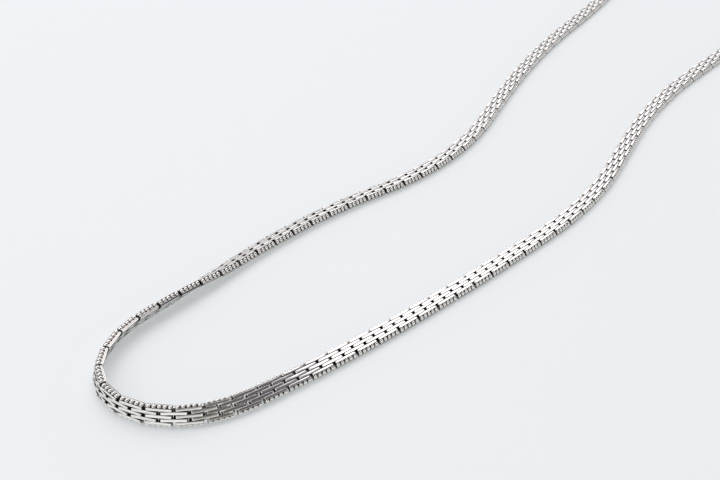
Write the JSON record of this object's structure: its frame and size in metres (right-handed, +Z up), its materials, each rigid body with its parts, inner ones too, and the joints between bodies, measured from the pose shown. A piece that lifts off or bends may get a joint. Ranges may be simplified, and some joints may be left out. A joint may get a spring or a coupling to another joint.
{
  "type": "chain necklace",
  "caption": "Flat woven-bar chain necklace with beaded edges, a sprung claw clasp and a catch ring, unclasped and laid on a table as a long narrow hairpin.",
  "frame": {"origin": "on the table, under the middle of the whole necklace's box", "axes": "+X along the hairpin from its bend to its open ends, +Z up from the table"},
  "size_m": [0.2252, 0.068, 0.0037],
  "materials": {
    "chain_silver": "polished silver, darker in the joints",
    "clasp_silver": "polished silver",
    "ring_wire": "drawn and polished silver wire",
    "spring_steel": "blued spring wire"
  },
  "bodies": {
    "chain_bend_middle": {"chain_bend_middle": "chain_silver"},
    "chain_near_01": {"chain_near_01": "chain_silver"},
    "chain_far_01": {"chain_far_01": "chain_silver"},
    "chain_near_02": {"chain_near_02": "chain_silver"},
    "chain_far_02": {"chain_far_02": "chain_silver"},
    "chain_near_03": {"chain_near_03": "chain_silver"},
    "chain_far_03": {"chain_far_03": "chain_silver"},
    "chain_near_04": {"chain_near_04": "chain_silver"},
    "chain_far_04": {"chain_far_04": "chain_silver"},
    "chain_near_05": {"chain_near_05": "chain_silver"},
    "chain_far_05": {"chain_far_05": "chain_silver"},
    "chain_near_06": {"edge_bars_near_06": "chain_silver", "inner_bars_near_06": "chain_silver"},
    "chain_far_06": {"edge_bars_far_06": "chain_silver", "inner_bars_far_06": "chain_silver"},
    "chain_near_07": {"edge_bars_near_07": "chain_silver", "inner_bars_near_07": "chain_silver"},
    "chain_far_07": {"edge_bars_far_07": "chain_silver", "inner_bars_far_07": "chain_silver"},
    "chain_near_08": {"edge_bars_near_08": "chain_silver", "inner_bars_near_08": "chain_silver"},
    "chain_far_08": {"edge_bars_far_08": "chain_silver", "inner_bars_far_08": "chain_silver"},
    "chain_near_09": {"edge_bars_near_09": "chain_silver", "inner_bars_near_09": "chain_silver"},
    "chain_far_09": {"edge_bars_far_09": "chain_silver", "inner_bars_far_09": "chain_silver"},
    "chain_near_10": {"edge_bars_near_10": "chain_silver", "inner_bars_near_10": "chain_silver"},
    "chain_far_10": {"edge_bars_far_10": "chain_silver", "inner_bars_far_10": "chain_silver"},
    "chain_near_11": {"edge_bars_near_11": "chain_silver", "inner_bars_near_11": "chain_silver"},
    "chain_far_11": {"edge_bars_far_11": "chain_silver", "inner_bars_far_11": "chain_silver"},
    "chain_near_12": {"edge_bars_near_12": "chain_silver", "inner_bars_near_12": "chain_silver"},
    "chain_far_12": {"edge_bars_far_12": "chain_silver", "inner_bars_far_12": "chain_silver"},
    "chain_near_13": {"edge_bars_near_13": "chain_silver", "inner_bars_near_13": "chain_silver"},
    "chain_far_13": {"edge_bars_far_13": "chain_silver", "inner_bars_far_13": "chain_silver"},
    "chain_near_14": {"edge_bars_near_14": "chain_silver", "inner_bars_near_14": "chain_silver"},
    "chain_far_14": {"edge_bars_far_14": "chain_silver", "inner_bars_far_14": "chain_silver"},
    "chain_near_15": {"edge_bars_near_15": "chain_silver", "inner_bars_near_15": "chain_silver"},
    "chain_far_15": {"edge_bars_far_15": "chain_silver", "inner_bars_far_15": "chain_silver"},
    "clasp_end_cap": {"clasp_end_cap": "clasp_silver"},
    "jump_ring": {"jump_ring": "ring_wire"},
    "clasp": {"clasp_body": "clasp_silver", "lever_rivet": "clasp_silver", "lever_spring": "spring_steel"},
    "clasp_lever": {"clasp_lever": "clasp_silver"},
    "catch_end_cap": {"catch_end_cap": "clasp_silver"},
    "catch_ring": {"catch_ring": "ring_wire"}
  },
  "joints": [
    {"name": "hinge_near_01", "type": "hinge", "parent": "chain_bend_middle", "child": "chain_near_01", "pos_m": [-0.1106, -0.00458, 0.00184], "axis": [0.2306, -0.092, 0.9687], "range_deg": [-30, 4]},
    {"name": "hinge_near_02", "type": "hinge", "parent": "chain_near_01", "child": "chain_near_02", "pos_m": [-0.11147, -0.00948, 0.00184], "axis": [-0.2566, -0.009, -0.9665], "range_deg": [-4, 30]},
    {"name": "hinge_near_03", "type": "hinge", "parent": "chain_near_02", "child": "chain_near_03", "pos_m": [-0.11035, -0.01433, 0.00185], "axis": [0.3016, 0.128, 0.9448], "range_deg": [-30, 4]},
    {"name": "hinge_near_04", "type": "hinge", "parent": "chain_near_03", "child": "chain_near_04", "pos_m": [-0.1077, -0.01856, 0.00185], "axis": [-0.3192, -0.2678, -0.9091], "range_deg": [-4, 30]},
    {"name": "hinge_near_05", "type": "hinge", "parent": "chain_near_04", "child": "chain_near_05", "pos_m": [-0.104, -0.0219, 0.00181], "axis": [0.3086, 0.4576, 0.8339], "range_deg": [-30, 4]},
    {"name": "hinge_near_06", "type": "hinge", "parent": "chain_near_05", "child": "chain_near_06", "pos_m": [-0.09954, -0.02415, 0.00172], "axis": [-0.2399, -0.6502, -0.7209], "range_deg": [-35, 35]},
    {"name": "hinge_near_07", "type": "hinge", "parent": "chain_near_06", "child": "chain_near_07", "pos_m": [-0.08979, -0.02631, 0.00144], "axis": [0.1428, 0.8629, 0.4848], "range_deg": [-35, 35]},
    {"name": "hinge_near_08", "type": "hinge", "parent": "chain_near_07", "child": "chain_near_08", "pos_m": [-0.06998, -0.02903, 0.00104], "axis": [-0.1055, -0.9712, -0.2136], "range_deg": [-35, 35]},
    {"name": "hinge_near_09", "type": "hinge", "parent": "chain_near_08", "child": "chain_near_09", "pos_m": [-0.05006, -0.03081, 0.00091], "axis": [0.0713, 0.989, 0.1293], "range_deg": [-35, 35]},
    {"name": "hinge_near_10", "type": "hinge", "parent": "chain_near_09", "child": "chain_near_10", "pos_m": [-0.03009, -0.0319, 0.00085], "axis": [-0.0369, -0.9953, -0.0896], "range_deg": [-35, 35]},
    {"name": "hinge_near_11", "type": "hinge", "parent": "chain_near_10", "child": "chain_near_11", "pos_m": [-0.0101, -0.03197, 0.00081], "axis": [-0.0739, 0.9949, 0.069], "range_deg": [-35, 35]},
    {"name": "hinge_near_12", "type": "hinge", "parent": "chain_near_11", "child": "chain_near_12", "pos_m": [0.00955, -0.02842, 0.00078], "axis": [0.2795, -0.9589, -0.0497], "range_deg": [-35, 35]},
    {"name": "hinge_near_13", "type": "hinge", "parent": "chain_near_12", "child": "chain_near_13", "pos_m": [0.02868, -0.02262, 0.00075], "axis": [-0.2653, 0.9637, 0.0303], "range_deg": [-35, 35]},
    {"name": "hinge_near_14", "type": "hinge", "parent": "chain_near_13", "child": "chain_near_14", "pos_m": [0.04829, -0.01877, 0.00072], "axis": [0.1188, -0.9929, -0.0109], "range_deg": [-35, 35]},
    {"name": "hinge_near_15", "type": "hinge", "parent": "chain_near_14", "child": "chain_near_15", "pos_m": [0.06825, -0.01762, 0.0007], "axis": [-0.0298, 0.9996, 0], "range_deg": [-35, 35]},
    {"name": "hinge_far_01", "type": "hinge", "parent": "chain_bend_middle", "child": "chain_far_01", "pos_m": [-0.106, 0.00123, 0.00185], "axis": [0.1899, -0.2542, 0.9483], "range_deg": [-4, 30]},
    {"name": "hinge_far_02", "type": "hinge", "parent": "chain_far_01", "child": "chain_far_02", "pos_m": [-0.10162, 0.00361, 0.00185], "axis": [-0.1432, 0.3635, -0.9205], "range_deg": [-30, 4]},
    {"name": "hinge_far_03", "type": "hinge", "parent": "chain_far_02", "child": "chain_far_03", "pos_m": [-0.09679, 0.00491, 0.00184], "axis": [0.071, -0.4484, 0.891], "range_deg": [-4, 30]},
    {"name": "hinge_far_04", "type": "hinge", "parent": "chain_far_03", "child": "chain_far_04", "pos_m": [-0.09181, 0.0053, 0.00182], "axis": [-0.0136, 0.5205, -0.8538], "range_deg": [-30, 4]},
    {"name": "hinge_far_05", "type": "hinge", "parent": "chain_far_04", "child": "chain_far_05", "pos_m": [-0.08681, 0.00532, 0.0018], "axis": [0.0077, -0.586, 0.8103], "range_deg": [-4, 30]},
    {"name": "hinge_far_06", "type": "hinge", "parent": "chain_far_05", "child": "chain_far_06", "pos_m": [-0.08181, 0.00543, 0.00169], "axis": [-0.022, 0.719, -0.6947], "range_deg": [-35, 35]},
    {"name": "hinge_far_07", "type": "hinge", "parent": "chain_far_06", "child": "chain_far_07", "pos_m": [-0.07182, 0.00591, 0.0012], "axis": [0.062, -0.9463, 0.3173], "range_deg": [-35, 35]},
    {"name": "hinge_far_08", "type": "hinge", "parent": "chain_far_07", "child": "chain_far_08", "pos_m": [-0.05184, 0.00608, 0.00092], "axis": [0.0605, 0.9892, -0.1338], "range_deg": [-35, 35]},
    {"name": "hinge_far_09", "type": "hinge", "parent": "chain_far_08", "child": "chain_far_09", "pos_m": [-0.03203, 0.00348, 0.00085], "axis": [-0.1986, -0.976, 0.0893], "range_deg": [-35, 35]},
    {"name": "hinge_far_10", "type": "hinge", "parent": "chain_far_09", "child": "chain_far_10", "pos_m": [-0.01217, 0.00174, 0.00081], "axis": [-0.0522, 0.9965, -0.0654], "range_deg": [-35, 35]},
    {"name": "hinge_far_11", "type": "hinge", "parent": "chain_far_10", "child": "chain_far_11", "pos_m": [0.0074, 0.00554, 0.00079], "axis": [0.3251, -0.9441, 0.0554], "range_deg": [-35, 35]},
    {"name": "hinge_far_12", "type": "hinge", "parent": "chain_far_11", "child": "chain_far_12", "pos_m": [0.0263, 0.01209, 0.00077], "axis": [-0.3108, 0.9496, -0.0413], "range_deg": [-35, 35]},
    {"name": "hinge_far_13", "type": "hinge", "parent": "chain_far_12", "child": "chain_far_13", "pos_m": [0.04553, 0.01754, 0.00074], "axis": [0.2302, -0.9728, 0.0252], "range_deg": [-35, 35]},
    {"name": "hinge_far_14", "type": "hinge", "parent": "chain_far_13", "child": "chain_far_14", "pos_m": [0.06517, 0.02129, 0.00071], "axis": [-0.1446, 0.9895, -0.0091], "range_deg": [-35, 35]},
    {"name": "hinge_far_15", "type": "hinge", "parent": "chain_far_14", "child": "chain_far_15", "pos_m": [0.08487, 0.02475, 0.0007], "axis": [0.2116, -0.9773, 0], "range_deg": [-35, 35]},
    {"name": "clasp_end_hinge", "type": "hinge", "parent": "chain_near_15", "child": "clasp_end_cap", "pos_m": [0.08825, -0.01714, 0.0007], "axis": [-0.0182, 0.9998, 0], "range_deg": [-45, 45]},
    {"name": "jump_ring_swing", "type": "hinge", "parent": "clasp_end_cap", "child": "jump_ring", "pos_m": [0.09237, -0.01707, 0.00092], "axis": [0.0182, -0.9998, 0], "range_deg": [-70, 70]},
    {"name": "clasp_swing", "type": "hinge", "parent": "jump_ring", "child": "clasp", "pos_m": [0.09567, -0.01701, 0.00092], "axis": [-0.0182, 0.9998, 0], "range_deg": [-70, 70]},
    {"name": "lever_pivot", "type": "hinge", "parent": "clasp", "child": "clasp_lever", "pos_m": [0.09812, -0.01594, 0.00092], "axis": [0, 0, -1], "range_deg": [0, 28], "stiffness_Nm_per_rad": 0.00002, "springref_deg": -20.05},
    {"name": "catch_end_hinge", "type": "hinge", "parent": "chain_far_15", "child": "catch_end_cap", "pos_m": [0.10423, 0.02975, 0.0007], "axis": [-0.2877, 0.9577, 0], "range_deg": [-45, 45]},
    {"name": "catch_ring_swing", "type": "hinge", "parent": "catch_end_cap", "child": "catch_ring", "pos_m": [0.10818, 0.03094, 0.00092], "axis": [0.2877, -0.9577, 0], "range_deg": [-70, 70]}
  ]
}
